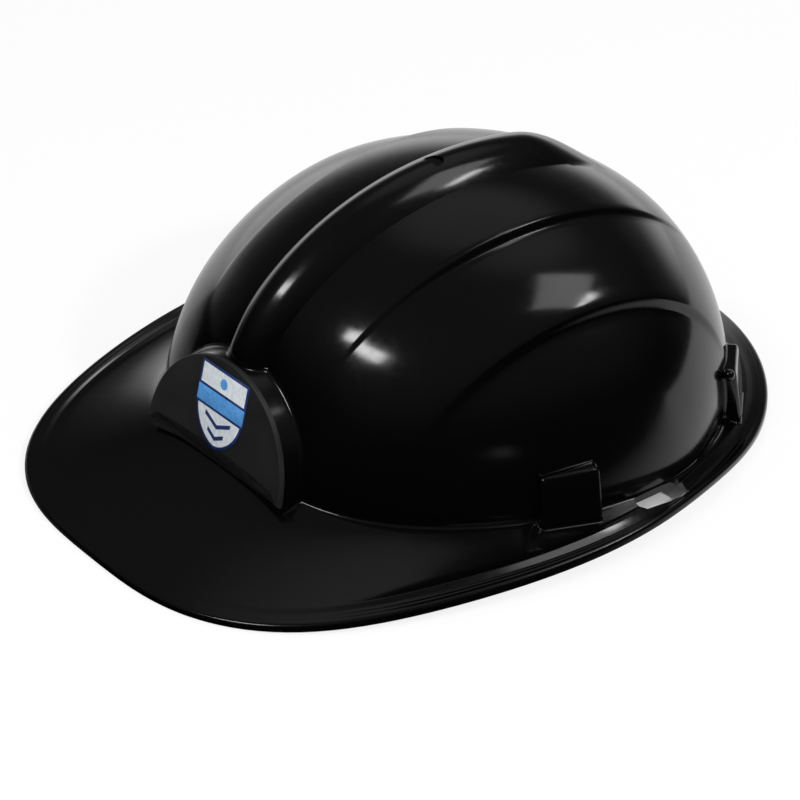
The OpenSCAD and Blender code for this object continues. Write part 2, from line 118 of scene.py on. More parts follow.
def bump(m, b, height, strength, distance):
    n = node(m, "ShaderNodeBump", Strength=strength, Distance=distance)
    link(m, height, n.inputs["Height"])
    link(m, n.outputs["Normal"], b.inputs["Normal"])


def gloss_black():
    """Glossy moulded plastic: faint moulding waves, fine dust and hairline rubs in the gloss."""
    m, b = material("moulded_gloss_black", (0.0013, 0.0013, 0.0015), 0.13)
    v = coords(m)
    waves = noise(m, v, 38, 2)
    rub = noise(m, v, 420, 3)
    cloud = noise(m, v, 24, 4)
    r = node(m, "ShaderNodeMath", operation="MULTIPLY")
    link(m, ramp(m, cloud, 0.3, 0.7, 0.10, 0.17), r.inputs[0])
    link(m, ramp(m, rub, 0.35, 0.75, 0.95, 1.25), r.inputs[1])
    link(m, r.outputs[0], b.inputs["Roughness"])
    dust = ramp(m, noise(m, v, 900, 2), 0.70, 0.82, 0.0, 0.35)
    link(m, mix(m, dust, (0.001, 0.001, 0.0011), (0.012, 0.012, 0.013)), b.inputs["Base Color"])
    bump(m, b, waves, 0.035, 0.0012)
    return m


def satin_plastic(name, base, rough, grain=900, depth=0.12):
    """Moulded plastic with a fine spark-eroded grain."""
    m, b = material(name, base, rough)
    v = coords(m)
    g = noise(m, v, grain, 3)
    c = noise(m, v, 60, 3)
    tint = tuple(min(1, x * 1.35 + 0.001) for x in base)
    link(m, mix(m, ramp(m, c, 0.35, 0.7, 0, 1), base, tint), b.inputs["Base Color"])
    link(m, ramp(m, c, 0.3, 0.7, rough - 0.05, rough + 0.06), b.inputs["Roughness"])
    bump(m, b, g, depth, 0.0002)
    return m


def fabric(name, base, light):
    """Woven nylon over foam: two crossed thread waves and a soft sheen."""
    m, b = material(name, base, 0.85, sheen=0.25)
    v = coords(m)

    def threads(axis):
        n = node(m, "ShaderNodeTexWave", wave_type="BANDS", bands_direction=axis, Scale=260.0, Distortion=0.6)
        link(m, v, n.inputs["Vector"])
        n.inputs["Detail Scale"].default_value = 4
        return n.outputs["Fac"]

    w = node(m, "ShaderNodeMath", operation="MAXIMUM")
    link(m, threads("DIAGONAL"), w.inputs[0])
    link(m, threads("Z"), w.inputs[1])
    link(m, mix(m, ramp(m, w.outputs[0], 0.2, 1, 0, 1), base, light), b.inputs["Base Color"])
    bump(m, b, w.outputs[0], 0.35, 0.0003)
    return m


# ---------------------------------------------------------------- shape of the shell, as in the part's source
D = dict(half_w=95.4, half_l=99.6, rise=85.0, foot_z=9.2, front_lift=12.3, hollow=2.6, y=17.2, wall=2.0,
         crest_w=12.4, crest_h=6.2, upper_x=38.2, lower_x=70.6, upper_step=2.3, lower_step=2.6, step_w=2.8,
         peak=55.1, rear=20.8, side_draw=15.0, corner=14.7, side_arch=5.5, edge_h=2.2, side_lip=1.5, gutter=1.3,
         flatness=0.24, widening=0.1, narrowing=0.12, squareness=0.47, lift_power=4.2)
# ends of the two steps, as middle and half length over the disc
UPPER_HUMP, LOWER_HUMP = (-0.01, 0.74), (0.03, 0.6)
# fillet at the dome's foot, round of the brim's edge
FILLET, EDGE_ROUND = 1.5, 1.3
# bead and grooves on the brim's sides, measured inwards from the edge: the bead's slope, then its back
BEAD_FOOT, BEAD_CROWN, BEAD_BACK, BEAD_END = 5.4, 7.6, 7.8, 10.6
BEAD_RISE, BEAD_DIP, BEAD_FALL = 1.7, 0.6, 1.1
GROOVES, GROOVE_DEPTH, GROOVE_W = (2.7, 4.3), 0.3, 0.32
CREST_Q, UPPER_Q, LOWER_Q, STEP_Q = (D[k] / D["half_w"] for k in ("crest_w", "upper_x", "lower_x", "step_w"))


def clamp(t):
    return min(1.0, max(0.0, t))


def smooth(t):
    u = clamp(t)
    return u * u * (3 - 2 * u)


def dome_g(x, y):
    """Height of the plain dome above its foot as a share of its rise, over the unit disc."""
    r2 = x * x + y * y
    return math.sqrt(max(0.0, 1 - (1 - D["flatness"]) * r2 - D["flatness"] * r2 * r2))


def lift(x, y):
    return D["front_lift"] * (max(0.0, math.hypot(x, y) - y) / 2) ** D["lift_power"]


def plan(x, y):
    return (D["half_w"] * x * (1 + D["widening"] * y - D["narrowing"] * y * y),
            D["y"] + D["half_l"] * y * (1 + D["squareness"] * x * x * ((1 - y) / 2) ** 2))


def dome_point(x, y):
    g = dome_g(x, y)
    px, py = plan(x, y)
    return Vector((px, py, D["foot_z"] + D["rise"] * g + lift(x, y) * (1 - g)))


def dome_normal(x, y):
    a = 1 - D["flatness"] + 2 * D["flatness"] * (x * x + y * y)
    return Vector((a * x / D["half_w"], a * y / D["half_l"], dome_g(x, y) / D["rise"])).normalized()


def hump(y, middle, half):
    """How far along the helmet a step is raised: 1 at its middle, 0 at its ends."""
    return max(0.0, 1 - ((y - middle) / half) ** 2)


def below_seam(x, seam, end):
    """0 above a seam, 1 at the foot of its step, and back to 0 towards end."""
    if x < seam + STEP_Q:
        return smooth((x - seam) / STEP_Q)
    return 1 - smooth((x - seam - STEP_Q) / (end - seam - STEP_Q))


def hollow(x, y):
    """Depth of the hollow in the dome's front round the badge neck."""
    if y >= 0:
        return 0.0
    g = dome_g(x, y)
    turn = math.degrees(math.atan2(abs(x), -y))
    return D["hollow"] * smooth((60 - turn) / 34) * smooth(g / 0.3) * smooth((0.72 - g) / 0.38)


def crest_fade(y):
    """The crest's height by its place along the helmet: it starts at the front and runs out at the rear."""
    return smooth((0.96 + y) / 0.06) if y < 0 else 1 - smooth((y - 0.3) / 0.36)


def relief(x, y):
    """How far the skin stands above the plain dome: crest, two steps and the hollow."""
    a = abs(x)
    return (D["crest_h"] * max(0.0, 1 - (a / CREST_Q) ** 2) * crest_fade(y)
            - D["upper_step"] * below_seam(a, UPPER_Q, LOWER_Q) * hump(y, *UPPER_HUMP)
            - D["lower_step"] * below_seam(a, LOWER_Q, 1.0) * hump(y, *LOWER_HUMP) - hollow(x, y))


def skin(x, y, off):
    """Point of the dome's skin, off outside it."""
    return dome_point(x, y) + (relief(x, y) + off) * dome_normal(x, y)


def foot(t):
    """Plan of the dome's foot by the angle t: -90 is the front, 0 the wearer's left."""
    return plan(math.cos(math.radians(t)), math.sin(math.radians(t)))


def foot_height(t):
    return D["foot_z"] + lift(math.cos(math.radians(t)), math.sin(math.radians(t)))


def outward(t):
    a, b = foot(t - 0.5), foot(t + 0.5)
    d = Vector((b[0] - a[0], b[1] - a[1])).normalized()
    return Vector((d.y, -d.x))


def share(s):
    """Share of the peak in the brim, by s, the y of the outline's outward direction."""
    return ((1 - s) / 2) ** 2.84


def reach(s):
    f = share(s)
    return D["rear"] + (D["peak"] - D["rear"]) * f + (D["corner"] * f - D["side_draw"]) * (1 - s * s)


def edge_z(s):
    return D["side_arch"] * (1 - s * s) ** 2


def edge_top(s):
    return edge_z(s) + D["edge_h"] + D["side_lip"] * (1 - s * s)


def brim_plain(t, s, r):
    """Brim surface without the bead and grooves; the underside follows it."""
    u = max(0.0, (r - FILLET) / (reach(s) - FILLET))
    h = foot_height(t) - FILLET
    return h + (edge_top(s) - h) * u ** (1 - 0.25 * share(s)) - D["gutter"] * (1 - s * s) * math.sin(math.pi * u)


def brim_top(t, s, r):
    side = (1 - s * s) ** 2
    inward = reach(s) - r
    bead = (BEAD_RISE * clamp((inward - BEAD_FOOT) / (BEAD_CROWN - BEAD_FOOT)) - BEAD_DIP * clamp(inward / BEAD_FOOT)
            - BEAD_FALL * clamp((inward - BEAD_BACK) / (BEAD_END - BEAD_BACK)))
    grooves = GROOVE_DEPTH * sum(math.exp(-((inward - at) / GROOVE_W) ** 2) for at in GROOVES)
    return brim_plain(t, s, r) + side * (bead - grooves)


def brim_rings(t, off):
    """Profile points (r, z) from the dome's foot to the edge; off is 0 outside and -wall inside."""
    s = outward(t).y
    big, h, z0 = reach(s), foot_height(t), edge_z(s)
    w = D["wall"]
    out = []
    if off == 0:
        for a in (15, 30, 45, 60, 75):
            out.append((FILLET * (1 - math.cos(math.radians(a))), h - FILLET * math.sin(math.radians(a))))
        # finer rings from the bead outwards
        fine_from, turn_from = big - 8.5, big - EDGE_ROUND
        radii = [FILLET + (fine_from - FILLET) * i / 16 for i in range(16)]
        radii += [fine_from + (turn_from - fine_from) * i / 32 for i in range(33)]
        out += [(r, brim_top(t, s, r)) for r in radii]
        for a in (25, 50, 70, 90):
            c = math.radians(a)
            out.append((turn_from + EDGE_ROUND * math.sin(c),
                        brim_top(t, s, turn_from) - EDGE_ROUND * (1 - math.cos(c))))
        out.append((big, z0 + 0.5))
        out.append((big - 0.15, z0 + 0.14))
        out.append((big - 0.5, z0))
    else:
        out.append((-w, h - FILLET - w + 1.2))
        out.append((-w + 0.35, h - FILLET - w + 0.35))
        first, last, n = -w + 1.2, big - w - 1.4, 22
        for i in range(n + 1):
            r = first + (last - first) * i / n
            out.append((r, brim_plain(t, s, max(r, FILLET)) - w))
        zu = brim_plain(t, s, last) - w
        out.append((big - w - 0.4, min(zu - 0.1, z0 + 3) if zu > z0 + 0.9 else zu))
        out.append((big - w, (zu + z0) / 2 if zu > z0 + 0.4 else z0 + 0.2))
        out.append((big - w + 0.2, z0 + 0.1))
        out.append((big - w + 0.6, z0))
    return out


def spaced(a, b, n, ease=False):
    """n values from just above a up to b, closer towards b where ease is set."""
    return [a + (b - a) * (math.sin(math.pi / 2 * i / n) if ease else i / n) for i in range(1, n + 1)]


HALF = (spaced(0, CREST_Q, 9) + spaced(CREST_Q, UPPER_Q, 14) + spaced(UPPER_Q, UPPER_Q + STEP_Q, 6)
        + spaced(UPPER_Q + STEP_Q, LOWER_Q, 14) + spaced(LOWER_Q, LOWER_Q + STEP_Q, 6)
        + spaced(LOWER_Q + STEP_Q, 1.0, 20, True)[:-1])
COLS = [-x for x in reversed(HALF)] + [0.0] + HALF
ROWS = 150


def grid_q(x, j):
    return x, math.sqrt(1 - x * x) * math.sin(math.radians(-90 + 180 * j / ROWS))


RIM = ([(-1.0, 0.0)] + [grid_q(x, 0) for x in COLS] + [(1.0, 0.0)] + [grid_q(x, ROWS) for x in reversed(COLS)])


def side_surface(off):
    """Vertices and faces of one skin of the dome and brim, open at the last ring."""
    nr = ROWS + 1
    nc = len(COLS)
    pts = [skin(*grid_q(x, j), off) for x in COLS for j in range(nr)]
    left, right = len(pts), len(pts) + 1
    pts += [skin(-1, 0, off), skin(1, 0, off)]
    faces = []
    for i in range(nc - 1):
        for j in range(ROWS):
            faces.append((i * nr + j, (i + 1) * nr + j, (i + 1) * nr + j + 1, i * nr + j + 1))
    for j in range(ROWS):
        faces.append((left, j, j + 1))
        faces.append((right, (nc - 1) * nr + j + 1, (nc - 1) * nr + j))
    loop = [left] + [i * nr for i in range(nc)] + [right] + [i * nr + ROWS for i in reversed(range(nc))]
    n = len(loop)
    profiles = []
    for x, y in RIM:
        t = math.degrees(math.atan2(y, x))
        f, o = foot(t), outward(t)
        profiles.append([Vector((f[0] + r * o.x, f[1] + r * o.y, z)) for r, z in brim_rings(t, off)])
    for k in range(len(profiles[0])):
        ring = list(range(len(pts), len(pts) + n))
        pts += [profiles[i][k] for i in range(n)]
        for i in range(n):
            j = (i + 1) % n
            faces.append((loop[j], loop[i], ring[i], ring[j]))
        loop = ring
    return pts, faces, loop


def new_object(name, pts, faces, mat, scale=MM, sharp=None):
    """Mesh object from points in millimetres (scale=MM) or metres (scale=1)."""
    me = bpy.data.meshes.new(name)
    me.from_pydata([tuple(p * scale) for p in pts], [], faces)
    me.validate()
    ob = bpy.data.objects.new(name, me)
    bpy.context.scene.collection.objects.link(ob)
    if mat:
        me.materials.append(mat)
    shade(ob, sharp)
    return ob


def from_bmesh(bm, name, mat=None):
    """Object from a bmesh, which is freed."""
    me = bpy.data.meshes.new(name)
    bm.to_mesh(me)
    bm.free()
    ob = bpy.data.objects.new(name, me)
    bpy.context.scene.collection.objects.link(ob)
    if mat:
        me.materials.append(mat)
    return ob


def strip_faces(rows, n):
    """Quads of a grid with n points in each of its rows."""
    return [(i * n + j, i * n + j + 1, (i + 1) * n + j + 1, (i + 1) * n + j)
            for i in range(rows - 1) for j in range(n - 1)]


def loop_faces(k, n):
    """Quads from closed ring k to the next, with n points in each ring."""
    return [(k * n + i, k * n + (i + 1) % n, (k + 1) * n + (i + 1) % n, (k + 1) * n + i) for i in range(n)]


def bend(a, corner, b, u):
    """Point at u on the rounded corner from a to b."""
    return a * (1 - u) ** 2 + corner * (2 * u * (1 - u)) + b * u ** 2


def shade(ob, sharp=None):
    """Smooth shading, with sharp edges above an angle in degrees."""
    for p in ob.data.polygons:
        p.use_smooth = True
    if sharp:
        ob.data.set_sharp_from_angle(angle=math.radians(sharp))


def apply_modifiers(ob):
    dg = bpy.context.evaluated_depsgraph_get()
    me = bpy.data.meshes.new_from_object(ob.evaluated_get(dg))
    old = ob.data
    ob.modifiers.clear()
    ob.data = me
    me.name = ob.name
    bpy.data.meshes.remove(old)


def cut(ob, cutter):
    """Takes the cutter out of the object, and removes the cutter."""
    mod = ob.modifiers.new("cut", "BOOLEAN")
    mod.operation = "DIFFERENCE"
    mod.object = cutter
    mod.solver = "EXACT"
    apply_modifiers(ob)
    bpy.data.objects.remove(cutter)


def box_object(name, size, matrix, bevel=0.0):
    """Box placed by matrix, in millimetres."""
    bm = bmesh.new()
    bmesh.ops.create_cube(bm, size=1)
    bmesh.ops.scale(bm, vec=Vector(size), verts=bm.verts)
    if bevel:
        bmesh.ops.bevel(bm, geom=bm.edges[:], offset=bevel, segments=3, profile=0.5, affect="EDGES")
    bmesh.ops.transform(bm, matrix=matrix, verts=bm.verts)
    ob = from_bmesh(bm, name)
    ob.data.transform(Matrix.Scale(MM, 4))
    return ob


def join(obs, name):
    """Joins meshes into the first one."""
    bm = bmesh.new()
    for o in obs:
        bm.from_mesh(o.data)
    me = obs[0].data
    bm.to_mesh(me)
    bm.free()
    for o in obs[1:]:
        bpy.data.objects.remove(o)
    obs[0].name = name
    me.name = name
    return obs[0]


# ---------------------------------------------------------------- frames of the keys and of the plate
# The five keys in order: front, left, right, rear left, rear right
RING_Y = 8.0
KEY_AT = [-90, -12.8, 192.8, 42, 138]
SETBACK = [4.0, 0.0, 0.0, 0.0, 0.0]
# slots of the keys' blades: thickness, width, lower edge and height
SLOT_T, SLOT_W, SLOT_Z, SLOT_H = 2.5, 17.4, 0.8, 15
# webs that back the pockets: thickness, lower edge, height of all but the front one
WEB_T, WEB_Z, WEB_H = 1.5, 6, 11
# pocket blocks: half width, height, how far they stand out at the foot and at the top, and their turn
BLOCK_W, BLOCK_H, BLOCK_OUT, BLOCK_TOP = 11.0, 17.8, 4.7, 2.0
BLOCK_TURN = [0, -4, 4, 0, 0]
# accessory slots: angles of the two on the dome's foot, length and width
ACCESSORY_AT, ACCESSORY_L, ACCESSORY_W = (4.5, 175.5), 20.5, 6.8


def key_matrix(k):
    f = foot(KEY_AT[k])
    d = math.atan2(f[1] - RING_Y, f[0])
    return (Matrix.Translation((0, RING_Y, 0)) @ Matrix.Rotation(d, 4, "Z")
            @ Matrix.Translation((math.hypot(f[0], f[1] - RING_Y), 0, foot_height(KEY_AT[k]))))


def block_matrix(k):
    f, o = foot(KEY_AT[k]), outward(KEY_AT[k])
    return (Matrix.Translation((f[0], f[1], foot_height(KEY_AT[k])))
            @ Matrix.Rotation(math.atan2(o.y, o.x) + math.radians(BLOCK_TURN[k]), 4, "Z"))


PLATE_AT, PLATE_LEAN = (0, -86.4, 17.6), 14.5
PLATE = Matrix.Translation(PLATE_AT) @ Matrix.Rotation(math.radians(90 - PLATE_LEAN), 4, "X")
PLATE_W, PLATE_H, PLATE_T, PLATE_ARCH, OVERHANG = 37.3, 35.9, 1.8, 2.3, 0.5
DRAFT = math.tan(math.radians(6))


def d_point(a, inset):
    """Point at the angle a of the plate's D outline, in the plate's frame."""
    p = 2 / 2.05
    c, s = math.cos(math.radians(a)), math.sin(math.radians(a))
    return Vector(((PLATE_W - inset) * math.copysign(abs(c) ** p, c), (PLATE_H - inset) * max(0.0, s) ** p, 0))


def neck_point(a, inset, front, depth):
    """Point of the neck's wall, depth behind its front end: the wall runs straight back and widens."""
    return PLATE @ (d_point(a, inset - depth * DRAFT) + Vector((0, 0, front))) + Vector((0, depth, 0))


# ---------------------------------------------------------------- shell
GLOSS = gloss_black()
outer_pts, outer_faces, outer_loop = side_surface(0)
inner_pts, inner_faces, inner_loop = side_surface(-D["wall"])
base = len(outer_pts)
faces = list(outer_faces) + [tuple(reversed([base + i for i in f])) for f in inner_faces]
n = len(outer_loop)
for i in range(n):
    j = (i + 1) % n
    faces.append((outer_loop[j], outer_loop[i], base + inner_loop[i], base + inner_loop[j]))
shell = new_object("helmet_shell", outer_pts + inner_pts, faces, GLOSS)
OUTER = BVHTree.FromPolygons(outer_pts, outer_faces)
INNER = BVHTree.FromPolygons(inner_pts, inner_faces)


def half_round_recess():
    """Gate mark on the crest."""
    radius, deep = 3.75, 0.8
    top = skin(0, (RING_Y + 2 - D["y"]) / D["half_l"], 0).z
    arc = [math.pi * i / 24 - 0.2 for i in range(27)]
    ring = [Vector((radius * math.cos(a), radius * math.sin(a), 0)) for a in arc]
    ring = [p for p in ring if p.y > -1.2] + [Vector((-3.5, -1.5, 0)), Vector((3.5, -1.5, 0))]
    m = len(ring)
    pts = [Vector((p.x, RING_Y + p.y, top + z)) for z in (-deep, 3) for p in ring]
    fs = [tuple(reversed(range(m))), tuple(range(m, 2 * m))] + loop_faces(0, m)
    return new_object("recess", pts, fs, None)


cutters = []
tongue_from, tongue_l = 4, 5    # way in for the key's tongue, under the web
for k in range(5):
    m = key_matrix(k)
    if k:
        at = m @ Matrix.Translation((-SLOT_T / 2 - SETBACK[k], 0, SLOT_Z + SLOT_H / 2))
        cutters.append(box_object("c", (SLOT_T, SLOT_W, SLOT_H), at))
    at = m @ Matrix.Translation((-SLOT_T - SETBACK[k] - tongue_from + tongue_l / 2, 0, (SLOT_Z + WEB_Z) / 2))
    cutters.append(box_object("c", (tongue_l, SLOT_W, WEB_Z - SLOT_Z), at))
for t in ACCESSORY_AT:
    o, f = outward(t), foot(t)
    r = ACCESSORY_W / 2 + 0.3
    m = Matrix.Translation((f[0] + r * o.x, f[1] + r * o.y, 5.2)) @ Matrix.Rotation(math.atan2(o.y, o.x), 4, "Z")
    cutters.append(box_object("c", (ACCESSORY_W, ACCESSORY_L, 20), m, bevel=0.9))
cutters.append(half_round_recess())
# hollow of the neck, through the dome's wall
hollow_from = PLATE_ARCH + 2.5
ring = [a for a in range(0, 181, 3) if d_point(a, OVERHANG + D["wall"]).y > hollow_from]
m = len(ring)
pts = [neck_point(a, OVERHANG + D["wall"], -D["wall"], depth) for depth in (0, 30) for a in ring]
fs = [tuple(range(m)), tuple(reversed(range(m, 2 * m)))]
fs += [(i, m + i, m + (i + 1) % m, (i + 1) % m) for i in range(m)]
cutters.append(new_object("c", pts, fs, None))
for c in cutters:
    cut(shell, c)


def cast(tree, origin, way):
    """Place and normal of the first hit, or None twice."""
    return tree.ray_cast(origin, way)[:2]


def blend(path, name):
    """Fillet strip along a junction: each entry holds the point, the ways up the wall and along the surface."""
    steps = 6
    pts = []
    for hit, up, along, rad in path:
        a, b = hit + up * rad, hit + along * rad
        pts.append(a + up * 0.05)
        pts += [bend(a, hit, b, i / steps) for i in range(steps + 1)]
        pts.append(b + along * 0.05)
    return new_object(name, pts, strip_faces(len(path), steps + 3), GLOSS)


def along_surface(way, nrm):
    """The direction way laid onto the surface with the normal nrm."""
    flat = way - nrm * way.dot(nrm)
    return flat.normalized() if flat.length > 1e-4 else way


def neck():
    """Wall of the badge neck, with a narrow fillet where it runs into the dome and the brim."""
    stops = [0.0, 0.33, 0.66] + [i * 1.5 for i in range(1, 120)] + [179.34, 179.67, 180.0]
    line = [(0.0, -3 + i) for i in range(3)] + [(a, 0.0) for a in stops] + [(180.0, -1.0 - i) for i in range(3)]
    lean = PLATE.to_3x3()
    widest, too_far = 1.1, 40
    rows = []
    for a, drop in line:
        down = lean @ Vector((0, drop, 0))
        start = neck_point(a, OVERHANG, 0, 0) + down
        back = (neck_point(a, OVERHANG, 0, 10) + down - start).normalized()
        wide = neck_point(a, OVERHANG - 1, 0, 0) + down - start
        out = (wide - back * wide.dot(back)).normalized()
        hit, nrm = cast(OUTER, start, back)
        if hit is None or (hit - start).length > too_far:
            hit, nrm = start + back * 12, out
        if nrm.dot(out) < 0:
            nrm = -nrm
        rad = min(widest, (hit - start).length * 0.4)
        along = along_surface(out, nrm)
        end, _ = cast(OUTER, hit + along * rad + nrm * 2, -nrm)
        end = end if end is not None else hit + along * rad
        edge = hit - back * rad
        row = [start, start + (edge - start) * 0.5, edge] + [bend(edge, hit, end, i / 6) for i in range(1, 6)]
        rows.append(row + [end + nrm * 0.01, end + along * 0.3 - nrm * 0.2])
    m = len(rows[0])
    pts = [p for r in rows for p in r]
    fs = strip_faces(len(rows), m)
    # front face behind the plate, and the wall's inside back to the dome's inner skin
    c = len(pts)
    pts.append(PLATE @ Vector((0, 10, 0)))
    fs += [(c, i * m, (i + 1) * m) for i in range(len(rows) - 1)] + [(c, (len(rows) - 1) * m, 0)]
    inset = OVERHANG + D["wall"]
    inner = [a for a in range(0, 181, 3) if d_point(a, inset).y > hollow_from]
    c = len(pts)
    for a in inner:
        near = neck_point(a, inset, -D["wall"], 0)
        back = (neck_point(a, inset, -D["wall"], 10) - near).normalized()
        hit, _ = cast(INNER, near + back * 0.2, back)
        far = hit if hit is not None and (hit - near).length < too_far else near + back * 0.5
        pts += [near, far]
    fs += [(c + 2 * i, c + 2 * i + 2, c + 2 * i + 3, c + 2 * i + 1) for i in range(len(inner) - 1)]
    fs += [tuple(c + 2 * i for i in range(len(inner)))]
    e = len(inner) - 1
    fs += [(c, c + 1, c + 2 * e + 1, c + 2 * e)]
    return new_object("neck", pts, fs, GLOSS)


def block(k):
    """Pocket block on the dome: a tapering face with rounded edges, walls into the dome and narrow fillets."""
    m = block_matrix(k)
    turn = m.to_3x3()
    w, h = BLOCK_W, BLOCK_H + D["foot_z"] - foot_height(KEY_AT[k])
    taper, corner, edge = 0.5, 2.0, 1.2
    low = -3.0

    def width(z):
        return w - taper * max(0.0, z) / h

    def face(z):
        return BLOCK_OUT + (BLOCK_TOP - BLOCK_OUT) * clamp((z - 1) / (h - 1))

    def corner_arc(side, degrees):
        """Points of a rounded top corner, side -1 on the left and 1 on the right."""
        for i in range(1, 9):
            a = math.radians(degrees - 90 * i / 9)
            c, s = math.cos(a), math.sin(a)
            yield (side * (width(h) - corner) + corner * c, h - corner + corner * s), (c, s)

    # outline in the face's plane, up the left, over the top and down the right, with its outward direction
    side = [low + (h - corner - low) * i / 24 for i in range(25)]
    line = [((-width(z), z), (-1.0, 0.0)) for z in side]
    line += corner_arc(-1, 180)
    top = width(h) - corner
    line += [((-top + 2 * top * i / 16, h), (0.0, 1.0)) for i in range(17)]
    line += corner_arc(1, 90)
    line += [((width(z), z), (1.0, 0.0)) for z in reversed(side)]
    arcs = 7
    pts = []
    for (y, z), (ny, nz) in line:
        x = face(z)
        for i in range(arcs + 1):
            a = math.radians(90 * i / arcs)
            inset = edge * (1 - math.sin(a))
            pts.append(m @ Vector((x - edge * (1 - math.cos(a)), y - ny * inset, z - nz * inset)))
        for back in (1.5, 3.5, 7.0):
            pts.append(m @ Vector((x - edge - back, y, z)))
    n = arcs + 4
    fs = strip_faces(len(line), n)
    # the face: rows across from the left edge to the right edge
    half = len(line) // 2
    for i in range(half):
        j = len(line) - 1 - i
        if i + 1 < j - 1:
            fs.append((i * n, (i + 1) * n, (j - 1) * n, j * n))
        elif i + 1 == j - 1:
            fs.append((i * n, (i + 1) * n, j * n))
    objects = [new_object("block", pts, fs, GLOSS)]

    # fillet to the dome, up one side, over the top and down the other
    path = []
    inward = turn @ Vector((-1, 0, 0))
    for (y, z), (ny, nz) in line:
        if z < -1.0:
            continue
        hit, nrm = cast(OUTER, m @ Vector((12, y, z)), inward)
        if hit is None:
            continue
        deep = face(z) - edge - (m.inverted() @ hit).x
        if deep < 0.15:
            continue
        out = turn @ Vector((0, ny, nz))
        path.append((hit, -inward, along_surface(out, nrm), min(0.9, deep)))
    objects.append(blend(path, "block_fillet"))
    # fillet to the brim, round the foot of the block
    path = []
    down = Vector((0, 0, -1))
    front = BLOCK_OUT - edge
    plan_line = [((x, -w), (0.0, -1.0)) for x in (1.2, 2.0, 2.8, front)]
    for i in range(1, 7):
        a = math.radians(-90 + 90 * i / 7)
        c, s = math.cos(a), math.sin(a)
        plan_line.append(((front + edge * c, -w + edge + edge * s), (c, s)))
    plan_line += [((BLOCK_OUT, -w + edge + (2 * w - 2 * edge) * i / 20), (1.0, 0.0)) for i in range(21)]
    plan_line += [((x, -y), (nx, -ny)) for (x, y), (nx, ny) in reversed(plan_line[:10])]
    for (x, y), (nx, ny) in plan_line:
        hit, nrm = cast(OUTER, m @ Vector((x, y, 8)), down)
        if hit is not None:
            path.append((hit, -down, along_surface(turn @ Vector((nx, ny, 0)), nrm), 0.8))
    objects.append(blend(path, "block_foot"))
    return objects


parts = [shell, neck()] + [piece for k in (1, 2, 3, 4) for piece in block(k)]
# the front web reaches the neck's top, the others run out to 0.8 mm inside the dome's foot
plate_top = PLATE.translation.z + (PLATE_H - OVERHANG) * math.cos(math.radians(PLATE_LEAN)) - D["wall"] / 2
for k in range(5):
    t = WEB_T if k == 0 else WEB_T + SLOT_T - 0.8
    h = plate_top - foot_height(KEY_AT[0]) - WEB_Z if k == 0 else WEB_H
    at = key_matrix(k) @ Matrix.Translation((-SETBACK[k] - SLOT_T - WEB_T + t / 2, 0, WEB_Z + h / 2))
    parts.append(box_object("web", (t, 2 * BLOCK_W - 2, h), at, bevel=0.3))
    parts[-1].data.materials.append(GLOSS)
# nubs at the rear blocks' upper corners
for k, side in ((3, 1), (4, -1)):
    bm = bmesh.new()
    bmesh.ops.create_uvsphere(bm, u_segments=32, v_segments=20, radius=2.1 * MM)
    loc = block_matrix(k) @ Vector((-0.4, -side * (BLOCK_W - 0.2), BLOCK_H - 1))
    bmesh.ops.translate(bm, verts=bm.verts, vec=loc * MM)
    parts.append(from_bmesh(bm, "nub", GLOSS))
helmet = join(parts, "helmet_shell")
shade(helmet, 34)
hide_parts("shell")
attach(helmet, HELMET)

# ---------------------------------------------------------------- badge plate and its generic shield
PLATE_MAT = satin_plastic("badge_plate_satin", (0.011, 0.011, 0.012), 0.5, grain=1400, depth=0.1)


def plate_outline(inset):
    """D outline over the top, and the arched lower edge back."""
    arch_r = (PLATE_W ** 2 + PLATE_ARCH ** 2) / (2 * PLATE_ARCH)
    top = [d_point(a, inset) for a in [i * 1.5 for i in range(121)]]
    w = PLATE_W - inset
    low = []
    for i in range(1, 40):
        x = -w + 2 * w * i / 40
        low.append(Vector((x, PLATE_ARCH - arch_r + math.sqrt(arch_r ** 2 - x * x) + inset, 0)))
    top[0].y = max(top[0].y, low[-1].y * 0.5)
    top[-1].y = max(top[-1].y, low[0].y * 0.5)
    return top + low


def plate():
    """Closed plate with a rounded front edge, from levels of inset and height."""
    edge, gap = 0.7, 0.03
    levels = [(0.0, gap), (0.0, PLATE_T - edge)]
    for a in (18, 36, 54, 72, 90):
        c, s = math.cos(math.radians(a)), math.sin(math.radians(a))
        levels.append((edge * (1 - c), PLATE_T - edge + edge * s))
    levels += [(1.6, PLATE_T), (3.2, PLATE_T)]
    pts = [PLATE @ Vector((p.x, p.y, z)) for inset, z in levels for p in plate_outline(inset)]
    n = len(pts) // len(levels)
    fs = [f for k in range(len(levels) - 1) for f in loop_faces(k, n)]
    fs.append(tuple(reversed(range(n))))
    fs.append(tuple(range(len(pts) - n, len(pts))))
    return new_object("badge_plate_moulded", pts, fs, PLATE_MAT, sharp=50)


badge = plate()
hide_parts("badge_plate")
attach(badge, HELMET)

SHIELD_H = 28.0
SHIELD_W, SHIELD_Y = 0.46 * SHIELD_H, PLATE_ARCH + 2.4
# the bands, chevrons and disc were laid out on a shield 25 mm high
GROW = SHIELD_H / 25


def shield_outline(s, n=40):
    """Plain heater shield, scaled by s about its middle."""
    out = []
    sh = 0.62 * SHIELD_H
    for i in range(n + 1):
        u = i / n
        out.append((SHIELD_W * (1 - u ** 2.4) ** 0.62, sh * (1 - u)))
    right = [(SHIELD_W, SHIELD_H)] + [(SHIELD_W, SHIELD_H - (SHIELD_H - sh) * i / 8) for i in range(1, 8)] + out
    left = [(-x, y) for x, y in reversed(right[:-1])]
    c = 0.56 * SHIELD_H
    return [Vector((x * s, c + (y - c) * s, 0)) for x, y in right + left]


